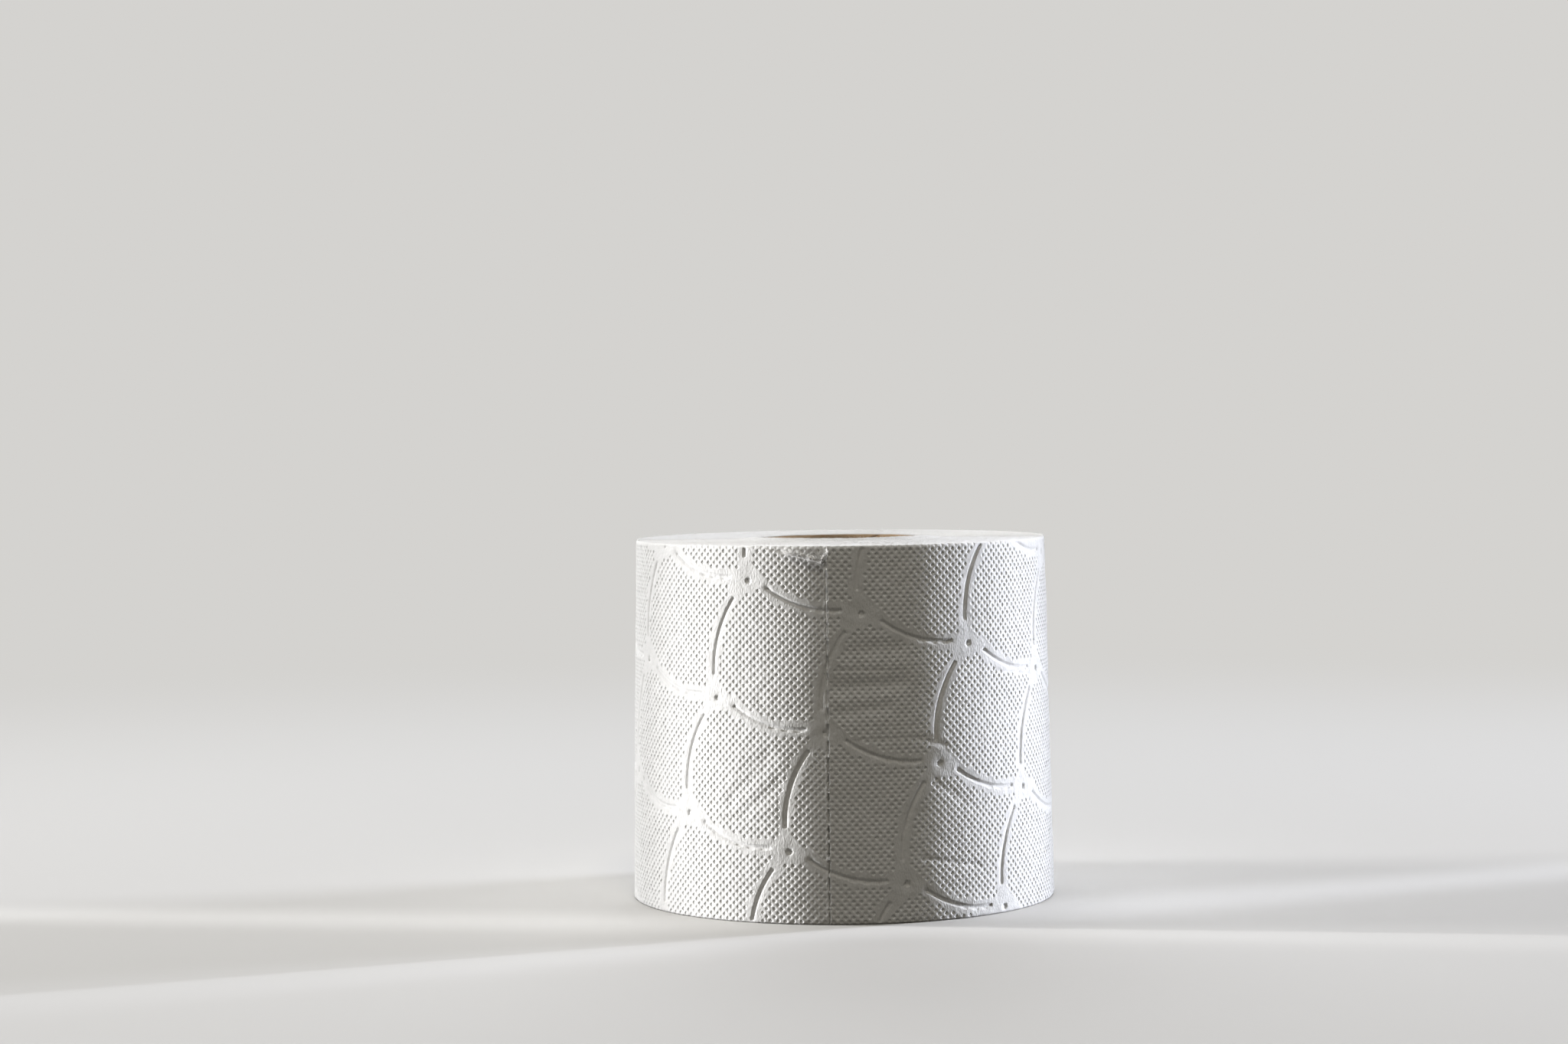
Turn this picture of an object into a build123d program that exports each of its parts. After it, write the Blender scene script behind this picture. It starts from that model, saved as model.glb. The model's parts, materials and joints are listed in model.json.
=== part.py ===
from build123d import *
import os
from math import acos, asin, ceil, cos, degrees, floor, hypot, pi, radians, sin, sqrt

# A toilet paper roll that stands on its end: embossed, perforated tissue wound on a cardboard core.
# Millimetres. The roll stands on z = 0, its axis is Z and its front faces -Y.
# A place on the side is a pair (along, up): along is the arc from the front line, positive to the
# right, at the roll's mean radius, and up is the height above the foot.

# The wound paper
HEIGHT = 98.0
TOP_RADIUS = 56.1
FLARE = 1.9  # how much wider the soft foot is than the top, on the radius
TURN_THICKNESS = 0.34  # one wound sheet, plies and embossing together
RIM_BEVEL = 0.6  # the crushed edge at both ends

# The cardboard core
CORE_BORE_RADIUS = 22.5
CORE_WALL = 0.7

# Turn lines on the two ends, one for every few real turns
LINE_PITCH = 5.7
LINE_WIDTH = 0.7
LINE_DEPTH = 0.5
LINE_MARGIN = 2.0  # paper left plain inside the rim and outside the core
LINE_SAG = 0.45  # how far a chord of the line cuts inside the true spiral

# The outer sheet and the perforations at its front end
SHEET_LENGTH = 115.0
FRONT_PERFORATION = -3.7
SLIT_LENGTH = 3.4
SLIT_WIDTH = 0.5
BOND_LENGTH = 1.0

# Embossed lattice: a node, and the steps to the next node across and down
FIRST_NODE = (5.4, 80.35)
ACROSS_PITCH = 31.7
ACROSS_FALL = 15.75  # degrees below level
DOWN_PITCH = 32.25
DOWN_LEAN = 17.5  # degrees left of plumb
GROOVE_WIDTH = 0.9
GROOVE_DEPTH = 0.45
GROOVE_SAG = 1.85  # how far a groove bows from its chord
GROOVE_CHORDS = 3
PIT_RADIUS = 0.83
PIT_SIDES = 6
PIT_DEPTH = 0.6

# Where each groove starts after its node and stops before the next one
ACROSS_START = (5.25, -1.9)
ACROSS_STOP = (-5.1, 0.95)
DOWN_START = (-4.35, -4.5)
DOWN_STOP = (-1.05, 6.0)

# The torn corner of the outer sheet, beside the front perforation
TEAR_WIDTH = 18.5
TEAR_DROP = 4.6
LIP_WIDTH = 1.0
LIP_HEIGHT = 0.4

CLEAR = 3.0  # how far a cutting shape reaches past the paper
SKIM = 0.5  # the same for a narrow trench, whose next turn lies close

BASE_RADIUS = TOP_RADIUS + FLARE
MEAN_RADIUS = (TOP_RADIUS + BASE_RADIUS) / 2
CORE_RADIUS = CORE_BORE_RADIUS + CORE_WALL
CIRCUMFERENCE = 2 * pi * MEAN_RADIUS

# The outer sheet runs from its free tail back to where it passes under that tail
TAIL_ALONG = FRONT_PERFORATION + SHEET_LENGTH
HIDDEN_ALONG = TAIL_ALONG - CIRCUMFERENCE
TAIL_ANGLE = degrees(TAIL_ALONG / MEAN_RADIUS)

# World angle of the front line, from +X
FRONT_ANGLE = -90.0


def wound_block(grow):
    """The paper's outer form, two half turns with axes half a sheet apart, grown by grow."""
    halves = []
    for axis_x, turn, shrink in ((0, -1, 0), (-TURN_THICKNESS / 2, 1, TURN_THICKNESS / 2)):
        base = BASE_RADIUS + grow - shrink
        top = TOP_RADIUS + grow - shrink
        outline = Polyline(
            (axis_x, 0, 0),
            (axis_x + base - RIM_BEVEL, 0, 0),
            (axis_x + base, 0, RIM_BEVEL),
            (axis_x + top, 0, HEIGHT - RIM_BEVEL),
            (axis_x + top - RIM_BEVEL, 0, HEIGHT),
            (axis_x, 0, HEIGHT),
            close=True,
        )
        halves.append(revolve(make_face(outline), Axis((axis_x, 0, 0), (0, 0, turn)), 180))
    return Rot(Z=FRONT_ANGLE + TAIL_ANGLE) * (halves[0] + halves[1])


def surface_radius(angle, up):
    """Distance from the roll's axis to the outer sheet, at degrees from the front line."""
    radius = BASE_RADIUS - FLARE * up / HEIGHT
    before_tail = angle - TAIL_ANGLE
    if before_tail > -180:
        return radius
    shift = TURN_THICKNESS / 2
    local = radians(before_tail)
    return sqrt((radius - shift) ** 2 - (shift * sin(local)) ** 2) - shift * cos(local)


def side_plane(along, up, depth=0.0):
    """A plane that touches the side at a place, or lies depth under it, with X to the right."""
    angle = degrees(along / MEAN_RADIUS)
    world = radians(FRONT_ANGLE + angle)
    outward = Vector(cos(world), sin(world), 0)
    origin = outward * (surface_radius(angle, up) - depth) + Vector(0, 0, up)
    return Plane(origin=origin, x_dir=Vector(-sin(world), cos(world), 0), z_dir=outward)


def trench(path, outward, width, depth):
    """A V-shaped cutting shape swept along a path of chords."""
    reach = width / 2 * (1 + SKIM / depth)
    section = make_face(Polyline((0, -depth), (reach, SKIM), (-reach, SKIM), close=True))
    ahead = (path[1] - path[0]).normalized()
    plane = Plane(origin=path[0], x_dir=outward.cross(ahead), z_dir=ahead)
    return sweep(plane * section, path=Polyline(*path), transition=Transition.RIGHT)


def turn_line(outer_radius, level, outward):
    """The line between turns on one end, a V that winds in from the rim to the core."""
    radius = outer_radius - LINE_MARGIN
    angle = radians(FRONT_ANGLE + TAIL_ANGLE)
    path = []
    while radius > CORE_RADIUS + LINE_MARGIN:
        path.append(Vector(radius * cos(angle), radius * sin(angle), level))
        turn = 2 * acos(1 - LINE_SAG / radius)
        angle -= turn
        radius -= LINE_PITCH * turn / (2 * pi)
    return trench(path, Vector(0, 0, outward), LINE_WIDTH, LINE_DEPTH)


def shifted(place, offset):
    return (place[0] + offset[0], place[1] + offset[1])


def bowed(start, stop):
    """Places on an arc from start to stop that bows down or to the left, an even chord apart."""
    along, up = stop[0] - start[0], stop[1] - start[1]
    chord = hypot(along, up)
    radius = (chord**2 / 4 + GROOVE_SAG**2) / (2 * GROOVE_SAG)
    half_turn = asin(chord / 2 / radius)
    places = []
    for k in range(GROOVE_CHORDS + 1):
        turn = half_turn * (2 * k / GROOVE_CHORDS - 1)
        run = 0.5 + radius * sin(turn) / chord
        dip = radius * (cos(turn) - cos(half_turn)) / chord
        places.append((start[0] + along * run + up * dip, start[1] + up * run - along * dip))
    return places


def on_sheet(along, up, reach=0.0):
    """Whether a place is on the outer sheet, or less than reach outside it."""
    level = -reach < up < HEIGHT + reach
    return level and HIDDEN_ALONG - reach < along < TAIL_ALONG + reach


def sheet_end(along):
    """The half of space beside the tail that holds the end of the sheet nearest to a place."""
    side = 1 if along < (HIDDEN_ALONG + TAIL_ALONG) / 2 else -1
    size = 2 * (BASE_RADIUS + CLEAR)
    half = Pos(0, side * size / 2, HEIGHT / 2) * Box(2 * size, size, 2 * size)
    return Rot(Z=FRONT_ANGLE + TAIL_ANGLE) * half


def groove(start, stop):
    """One bowed groove, or the part of it that is on the outer sheet."""
    middle = ((start[0] + stop[0]) / 2, (start[1] + stop[1]) / 2)
    reach = hypot(stop[0] - start[0], stop[1] - start[1]) / 2 + GROOVE_WIDTH
    if not on_sheet(*middle, reach):
        return []
    path = [side_plane(*place).origin for place in bowed(start, stop)]
    outward = side_plane(*middle).z_dir
    tool = trench(path, outward, GROOVE_WIDTH, GROOVE_DEPTH)
    if not on_sheet(middle[0], HEIGHT / 2, -reach):
        tool = tool & sheet_end(middle[0])
    return list(tool.solids()) if tool is not None else []


def pit(along, up):
    """The pit at a lattice node, round enough for its size with a few sides."""
    return extrude(side_plane(along, up, PIT_DEPTH) * RegularPolygon(PIT_RADIUS, PIT_SIDES), CLEAR)


def embossing():
    """The curved lattice of the outer sheet: grooves between the nodes and a pit at each."""
    across = (ACROSS_PITCH * cos(radians(ACROSS_FALL)), -ACROSS_PITCH * sin(radians(ACROSS_FALL)))
    down = (-DOWN_PITCH * sin(radians(DOWN_LEAN)), -DOWN_PITCH * cos(radians(DOWN_LEAN)))
    columns = ceil((CIRCUMFERENCE + HEIGHT) / across[0])
    rows = ceil((CIRCUMFERENCE + HEIGHT) / -down[1])
    tools = []
    for i in range(-columns, columns + 1):
        for j in range(-rows, rows + 1):
            step = (i * across[0] + j * down[0], i * across[1] + j * down[1])
            node = shifted(FIRST_NODE, step)
            beside = shifted(node, across)
            below = shifted(node, down)
            tools += groove(shifted(node, ACROSS_START), shifted(beside, ACROSS_STOP))
            tools += groove(shifted(node, DOWN_START), shifted(below, DOWN_STOP))
            if on_sheet(*node, -PIT_RADIUS):
                tools.append(pit(*node))
    return tools


def perforations():
    """The slits from foot to top at the front end of the outer sheet."""
    pitch = SLIT_LENGTH + BOND_LENGTH
    count = floor((HEIGHT - 2 * RIM_BEVEL + BOND_LENGTH) / pitch)
    first = (HEIGHT - (count - 1) * pitch) / 2
    blade = Rot(Y=45) * Box(SLIT_WIDTH, SLIT_LENGTH, SLIT_WIDTH)
    return [side_plane(FRONT_PERFORATION, first + row * pitch) * blade for row in range(count)]


def side_patch(places, inner, outer):
    """A patch of the side between two levels of the paper, with its outline given by places."""
    middle = (sum(p[0] for p in places) / len(places), sum(p[1] for p in places) / len(places))
    outline = Polyline(*[(p[0] - middle[0], p[1] - middle[1]) for p in places], close=True)
    prism = extrude(side_plane(*middle) * make_face(outline), CLEAR, both=True)
    return prism & (wound_block(outer) - wound_block(inner))


def torn_corner():
    """The missing corner of the outer sheet, and the lip that stands up along the tear."""
    right = FRONT_PERFORATION
    left = right - TEAR_WIDTH
    brim = HEIGHT - RIM_BEVEL
    tip = (right - LIP_WIDTH, HEIGHT - TEAR_DROP)
    heel = (right, HEIGHT - TEAR_DROP + 2 * LIP_WIDTH)
    inner_heel = (right - 2 * LIP_WIDTH, heel[1])
    missing = [(left, HEIGHT + CLEAR), (left, HEIGHT), heel, (right, HEIGHT + CLEAR)]
    curled = [(left, brim), tip, heel, inner_heel, (left + TEAR_DROP, brim)]
    gap = side_patch(missing, -TURN_THICKNESS, CLEAR)
    lip = side_patch(curled, -TURN_THICKNESS, LIP_HEIGHT)
    return gap, lip


def paper_roll():
    bore = Pos(0, 0, HEIGHT / 2) * Cylinder(CORE_RADIUS, HEIGHT + 2 * CLEAR)
    gap, lip = torn_corner()
    lines = [turn_line(TOP_RADIUS, HEIGHT, 1), turn_line(BASE_RADIUS, 0, -1)]
    return (wound_block(0) - gap + lip) - [bore, *lines, *embossing(), *perforations()]


def core_tube():
    outside = Cylinder(CORE_RADIUS, HEIGHT)
    inside = Cylinder(CORE_BORE_RADIUS, HEIGHT)
    return Pos(0, 0, HEIGHT / 2) * (outside - inside)


PARTS = {"paper_roll": paper_roll(), "core_tube": core_tube()}

os.makedirs("parts", exist_ok=True)
for name, shape in PARTS.items():
    export_step(shape, f"parts/{name}.step")
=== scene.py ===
# A toilet paper roll that stands on its end: tissue with an embossed lattice and fine dots, wound on a
# cardboard core, with a torn corner beside the front perforation.
# A place on the side is a pair (along, up) in millimetres: along is the arc from the front line,
# positive to the right, at the mean radius, and up is the height above the foot.
import json
import math

import bmesh
import bpy
from mathutils import Matrix, Vector, noise


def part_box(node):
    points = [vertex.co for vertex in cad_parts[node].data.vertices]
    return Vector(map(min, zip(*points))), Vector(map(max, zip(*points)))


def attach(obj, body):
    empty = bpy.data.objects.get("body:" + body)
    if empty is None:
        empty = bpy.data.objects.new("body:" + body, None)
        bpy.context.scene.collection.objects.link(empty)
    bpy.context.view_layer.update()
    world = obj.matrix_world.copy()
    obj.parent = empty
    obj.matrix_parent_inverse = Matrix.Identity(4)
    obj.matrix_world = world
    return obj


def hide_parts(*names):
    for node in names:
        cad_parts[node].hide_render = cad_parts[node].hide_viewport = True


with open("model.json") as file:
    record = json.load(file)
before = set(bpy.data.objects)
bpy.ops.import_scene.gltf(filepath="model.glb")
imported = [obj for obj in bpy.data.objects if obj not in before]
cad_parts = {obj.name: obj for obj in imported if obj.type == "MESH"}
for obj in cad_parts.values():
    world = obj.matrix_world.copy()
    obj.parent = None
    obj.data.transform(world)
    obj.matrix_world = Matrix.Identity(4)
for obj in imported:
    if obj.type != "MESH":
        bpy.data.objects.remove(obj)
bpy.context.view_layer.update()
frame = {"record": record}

MM = 0.001
SEED = 7

# Overall sizes, from the frame
roll_low, roll_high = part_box("paper_roll")
bore = next(mount for mount in frame["record"]["mounts"] if mount["name"] == "core_bore")
HEIGHT = (roll_high.z - roll_low.z) / MM
BASE_RADIUS = (roll_high.x - roll_low.x) / 2 / MM
CORE_BORE_RADIUS = bore["dims"]["r_mm"]
CORE_RADIUS = (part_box("core_tube")[1].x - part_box("core_tube")[0].x) / 2 / MM

# The wound web
FLARE = 1.9
TURN = 0.34
TURNS = 95
MEAN_RADIUS = BASE_RADIUS - FLARE / 2
CIRCUMFERENCE = 2 * math.pi * MEAN_RADIUS
SHEET_LENGTH = 115.0
FRONT_PERFORATION = -3.7
TAIL = FRONT_PERFORATION + SHEET_LENGTH
HIDDEN = TAIL - CIRCUMFERENCE
TUCK = 2.0  # how far the web is modelled on under its own tail
SHELL = 0.85  # depth of the modelled outer sheets, a little over two turns
RIM_ROUND = 0.6
RIM_FLAT = SHELL - RIM_ROUND
RIM_DIVE = 0.8  # how steeply a sheet's inner edge goes down between the other turns
COLLAR = 0.66  # how far the innermost turns stand above the core in front
COLLAR_TURNS = 9.0  # the number of turns over which that falls away
WOUND_TURNS = {"Turns": TURNS, "Columns": 120, "Line depth": 0.11}

# The core
CARD_STRIP = 62.0  # width of the strip that it is wound from, along the roll's axis
CORE_SETBACK = 0.25  # how much shorter than the paper it was cut
CORE_COLUMNS = 180
CORE_LEVELS = 60

# Perforations, on both side borders of each sheet
FIRST_SLIT = 1.9
SLIT_LENGTH = 3.4
SLIT_PITCH = 4.4
SLIT_GAPE = 0.17  # how far each of its two borders stands back

# Dots and the mesh cells that carry them
DOTS_PER_SHEET = 56
CELLS_PER_DOT = 6
SHEET_COLUMNS = DOTS_PER_SHEET * CELLS_PER_DOT
DOT_PITCH = SHEET_LENGTH / DOTS_PER_SHEET
DOT_ROW = 1.03
CELL_ALONG = DOT_PITCH / CELLS_PER_DOT
CELL_UP = DOT_ROW / 3
DOT_RADIUS = 0.42
DOT_DEPTH = 0.3
DOT_BULGE = 0.05  # how far the paper between the dots swells
OVERHANG = (math.pi / 2 - 1) * RIM_ROUND + RIM_FLAT
ROWS = round((HEIGHT + 2 * OVERHANG) / CELL_UP)
FIRST_DOT = (FRONT_PERFORATION + 3 * CELL_ALONG, 4 * CELL_UP - OVERHANG)

# Embossed lattice: a node, and the steps to the next node across and down
FIRST_NODE = (5.4, 80.35)
ACROSS_PITCH = 31.7
ACROSS_FALL = math.radians(15.75)  # below level
DOWN_PITCH = 32.25
DOWN_LEAN = math.radians(17.5)  # left of plumb
ACROSS = (ACROSS_PITCH * math.cos(ACROSS_FALL), -ACROSS_PITCH * math.sin(ACROSS_FALL))
DOWN = (-DOWN_PITCH * math.sin(DOWN_LEAN), -DOWN_PITCH * math.cos(DOWN_LEAN))
ACROSS_START = (5.25, -1.9)
ACROSS_STOP = (-5.1, 0.95)
DOWN_START = (-4.35, -4.5)
DOWN_STOP = (-1.05, 6.0)
SAG = 1.85  # how far a groove bows from its chord
GROOVE_FLOOR = 0.3  # half width
GROOVE_BRIM = 0.56
GROOVE_DEPTH = 0.29
SHOULDER_DEPTH = 0.07
SHOULDER_WIDTH = 1.0
NOTCH = 0.28  # how far the steps in a groove's lower wall reach out
NOTCH_PITCH = 3.4
PIT_FLOOR = 0.66
PIT_BRIM = 0.88
PIT_DEPTH = 0.32
START_PIT = 0.6  # half width of the deeper end where a groove across begins
PLAIN_BESIDE_ARC = 1.95
PLAIN_ROUND_NODE = 3.7

# The torn corner: from the rim down to its tip and up to the perforation
TEAR_START = (-23.0, 98.0)
TEAR_TIP = (-4.7, 93.4)
TEAR_END = (-3.6, 95.3)
TEAR_RUN = (TEAR_TIP[0] - TEAR_START[0], TEAR_TIP[1] - TEAR_START[1])
TEAR_SLOPE = TEAR_RUN[1] / TEAR_RUN[0]
LIP_START = -15.0  # where along the tear its edge begins to curl
TORN_LIP = {"Columns": 150, "Rows": 8, "Width": 1.5, "Curl": 0.6, "Thickness": 0.07}

# Camera, as fitted to the photograph's frame
CAMERA_DISTANCE = 876.8
CAMERA_HEIGHT = 132.4
CAMERA_YAW = math.radians(-1.0)
CAMERA_PITCH = math.radians(1.965)
CAMERA_ROLL = math.radians(-0.693)
LENS = 73.17
SENSOR = 36.0

STRIP_HEIGHT = 150.0  # half height of the light that grazes the front

# Light and backdrop colours, linear
LEFT_KEY = (0.99, 0.99, 1.0)
RIGHT_KEY = (0.86, 0.895, 1.0)
WARM = (1.0, 0.94, 0.81)
COOL = (0.94, 0.965, 1.0)
WORLD_LIGHT = (0.028, 0.026, 0.0205)
BACKDROP = (0.66, 0.65, 0.63)
FLOOR_COLOUR = (0.59, 0.582, 0.566)
FLOOR_BOUNCE = (0.086, 0.08, 0.067)


class Wire:
    """The value of a socket; arithmetic on it adds Math nodes to its tree."""

    def __init__(self, graph, socket):
        self.graph = graph
        self.socket = socket

    def __add__(self, other):
        return self.graph.math("ADD", self, other)

    def __radd__(self, other):
        return self.graph.math("ADD", other, self)

    def __sub__(self, other):
        return self.graph.math("SUBTRACT", self, other)

    def __rsub__(self, other):
        return self.graph.math("SUBTRACT", other, self)

    def __mul__(self, other):
        return self.graph.math("MULTIPLY", self, other)

    def __rmul__(self, other):
        return self.graph.math("MULTIPLY", other, self)

    def __truediv__(self, other):
        return self.graph.math("DIVIDE", self, other)

    def __rtruediv__(self, other):
        return self.graph.math("DIVIDE", other, self)

    def __neg__(self):
        return self.graph.math("MULTIPLY", self, -1.0)

    def __abs__(self):
        return self.graph.math("ABSOLUTE", self)

    def __gt__(self, other):
        return self.graph.math("GREATER_THAN", self, other)

    def __lt__(self, other):
        return self.graph.math("LESS_THAN", self, other)

    def at_least(self, other):
        return self.graph.math("MAXIMUM", self, other)

    def at_most(self, other):
        return self.graph.math("MINIMUM", self, other)

    def rounded(self):
        return self.graph.math("FLOOR", self + 0.5)

    def squared(self):
        return self * self

    def sine(self):
        return self.graph.math("SINE", self)

    def cosine(self):
        return self.graph.math("COSINE", self)

    def hump(self, width):
        """1 where the value is 0, falling to nothing a few widths away."""
        return self.graph.math("EXPONENT", -(self / width).squared())


class Graph:
    """Adds nodes to one tree, a material's or a Geometry Nodes tree's."""

    def __init__(self, tree):
        self.tree = tree

    def node(self, kind, sockets=None, out=0, stops=None, **settings):
        """One node: its settings and ramp stops, then its sockets' values or links; gives an output."""
        node = self.tree.nodes.new(kind)
        for name, value in settings.items():
            setattr(node, name, value)
        for index, (position, colour) in enumerate(stops or []):
            if index > 1:
                node.color_ramp.elements.new(position)
            node.color_ramp.elements[index].position = position
            node.color_ramp.elements[index].color = (*colour, 1)
        for name, value in (sockets or {}).items():
            if isinstance(value, Wire):
                self.tree.links.new(value.socket, node.inputs[name])
            else:
                node.inputs[name].default_value = value
        return Wire(self, node.outputs[out])

    def math(self, operation, *values):
        return self.node("ShaderNodeMath", dict(enumerate(values)), operation=operation)

    def length(self, x, y):
        return self.math("SQRT", x.squared() + y.squared())

    def ease(self, value, start, stop):
        """0 at start, 1 at stop, smooth between them."""
        sockets = {"Value": value, "From Min": start, "From Max": stop}
        return self.node("ShaderNodeMapRange", sockets, interpolation_type="SMOOTHSTEP")

    def vector(self, x=0.0, y=0.0, z=0.0):
        return self.node("ShaderNodeCombineXYZ", {"X": x, "Y": y, "Z": z})

    def parts(self, vector):
        node = self.node("ShaderNodeSeparateXYZ", {"Vector": vector}).socket.node
        return [Wire(self, output) for output in node.outputs]

    def scaled(self, vector, x, y, z):
        return self.node("ShaderNodeVectorMath", {0: vector, 1: (x, y, z)}, operation="MULTIPLY")

    def noise(self, vector, scale, detail=2.0, roughness=0.5):
        sockets = {"Vector": vector, "Scale": scale, "Detail": detail, "Roughness": roughness}
        return self.node("ShaderNodeTexNoise", sockets)


# Geometry Nodes: common parts


def new_tree(name, inputs):
    """A Geometry Nodes tree with these named inputs; gives its graph and their wires."""
    tree = bpy.data.node_groups.new(name, "GeometryNodeTree")
    tree.interface.new_socket("Geometry", in_out="OUTPUT", socket_type="NodeSocketGeometry")
    kinds = {int: "NodeSocketInt", float: "NodeSocketFloat"}
    for label, value in inputs.items():
        kind = kinds.get(type(value), "NodeSocketMaterial")
        socket = tree.interface.new_socket(label, in_out="INPUT", socket_type=kind)
        if kind != "NodeSocketMaterial":
            socket.default_value = value
    group = tree.nodes.new("NodeGroupInput")
    graph = Graph(tree)
    return graph, {label: Wire(graph, group.outputs[label]) for label in inputs}


def finish_tree(g, geometry, material):
    """Ends a tree with real faces in one material."""
    real = g.node("GeometryNodeRealizeInstances", {"Geometry": geometry})
    smooth = g.node("GeometryNodeSetShadeSmooth", {"Geometry": real})
    painted = g.node("GeometryNodeSetMaterial", {"Geometry": smooth, "Material": material})
    output = g.tree.nodes.new("NodeGroupOutput")
    g.tree.links.new(painted.socket, output.inputs[0])


def store(g, geometry, name, value, kind, domain="POINT"):
    sockets = {"Geometry": geometry, "Name": name, "Value": value}
    return g.node("GeometryNodeStoreNamedAttribute", sockets, data_type=kind, domain=domain)


def grown(name, tree, settings):
    """The plain mesh object that a tree makes with these settings."""
    piece = bpy.data.objects.new(name, bpy.data.meshes.new(name))
    bpy.context.scene.collection.objects.link(piece)
    modifier = piece.modifiers.new(name, "NODES")
    modifier.node_group = tree
    for item in tree.interface.items_tree:
        if item.in_out == "INPUT":
            modifier[item.identifier] = settings[item.name]
    bpy.context.view_layer.update()
    evaluated = piece.evaluated_get(bpy.context.evaluated_depsgraph_get())
    mesh = bpy.data.meshes.new_from_object(evaluated)
    while mesh.materials[0] is None:
        mesh.materials.pop(index=0)
    piece.modifiers.clear()
    piece.data = mesh
    mesh.name = name
    return piece


# The embossed lattice, as distances from its nearest arcs and nodes


def to_lattice(along, up):
    """Steps across and down from the first node."""
    spread = ACROSS[0] * DOWN[1] - ACROSS[1] * DOWN[0]
    x = along - FIRST_NODE[0]
    y = up - FIRST_NODE[1]
    return (x * DOWN[1] - y * DOWN[0]) / spread, (y * ACROSS[0] - x * ACROSS[1]) / spread


def from_nearest(along, up, middle):
    """Offset of a place from the lattice node whose copy of a point lies nearest to the place."""
    steps_across, steps_down = to_lattice(along, up)
    shift_across, shift_down = to_lattice(FIRST_NODE[0] + middle[0], FIRST_NODE[1] + middle[1])
    i = (steps_across - shift_across).rounded()
    j = (steps_down - shift_down).rounded()
    x = along - (FIRST_NODE[0] + i * ACROSS[0] + j * DOWN[0])
    y = up - (FIRST_NODE[1] + i * ACROSS[1] + j * DOWN[1])
    return x, y


class Arc:
    """One bowed groove of the lattice, by its ends as offsets from its node."""

    def __init__(self, start, stop):
        run = (stop[0] - start[0], stop[1] - start[1])
        chord = math.hypot(*run)
        self.ahead = (run[0] / chord, run[1] / chord)
        self.bow = (self.ahead[1], -self.ahead[0])
        self.radius = (chord**2 / 4 + SAG**2) / (2 * SAG)
        self.half = self.radius * math.asin(chord / 2 / self.radius)
        rise = self.radius - SAG
        self.centre = [start[k] + run[k] / 2 - self.bow[k] * rise for k in (0, 1)]
        self.middle = [self.centre[k] + self.bow[k] * self.radius for k in (0, 1)]

    def measure(self, g, along, up):
        """Distance outside the nearest copy of the arc, distance past its middle, way outwards."""
        x, y = from_nearest(along, up, self.middle)
        x = x - self.centre[0]
        y = y - self.centre[1]
        reach = g.length(x, y)
        ahead = x * self.ahead[0] + y * self.ahead[1]
        outward = x * self.bow[0] + y * self.bow[1]
        past = g.math("ARCTAN2", ahead, outward) * self.radius
        return reach - self.radius, past, (x / reach, y / reach)


ACROSS_ARC = Arc(ACROSS_START, (ACROSS[0] + ACROSS_STOP[0], ACROSS[1] + ACROSS_STOP[1]))
DOWN_ARC = Arc(DOWN_START, (DOWN[0] + DOWN_STOP[0], DOWN[1] + DOWN_STOP[1]))


def snapped(distance, floor_edge, brim_edge, active):
    """How far a vertex moves across a wall to meet the wall's foot or brim, and a mask of the floor."""
    wall = (floor_edge + brim_edge) / 2
    on_floor = distance < wall
    target = brim_edge + on_floor * (floor_edge - brim_edge)
    near = (distance < wall + CELL_ALONG) * (distance > wall - CELL_ALONG)
    return near * active * (target - distance), on_floor * active


def lattice_relief(g, along, up):
    """Moves in the sheet and the depth of its grooves and pits at a place."""
    move_x = 0.0
    move_y = 0.0
    depth = 0.0
    for arc in (ACROSS_ARC, DOWN_ARC):
        distance, past, way = arc.measure(g, along, up)
        off = abs(distance)
        active = abs(past) < arc.half
        if arc is ACROSS_ARC:
            stepped = (g.math("PINGPONG", past, NOTCH_PITCH / 2) > NOTCH_PITCH / 4) * (past > 0.0)
            off = (off - (distance > 0.0) * stepped * NOTCH).at_least(0.0)
        step, on_floor = snapped(off, GROOVE_FLOOR, GROOVE_BRIM, active)
        side = g.math("SIGN", distance)
        move_x = move_x + step * side * way[0]
        move_y = move_y + step * side * way[1]
        shoulder = distance.hump(SHOULDER_WIDTH) * g.ease(abs(past), arc.half + 1.5, arc.half - 1.0)
        depth = depth + on_floor * GROOVE_DEPTH + shoulder * SHOULDER_DEPTH
    x, y = from_nearest(along, up, (0, 0))
    off = g.length(x, y).at_least(0.01)
    step, on_floor = snapped(off, PIT_FLOOR, PIT_BRIM, 1.0)
    move_x = move_x + step * x / off
    move_y = move_y + step * y / off
    depth = depth + on_floor * PIT_DEPTH + off.hump(1.6) * 0.12
    x, y = from_nearest(along, up, ACROSS_START)
    beyond = g.length(x - ACROSS_START[0], y - ACROSS_START[1])
    return move_x, move_y, depth + beyond.hump(START_PIT) * 0.2


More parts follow.
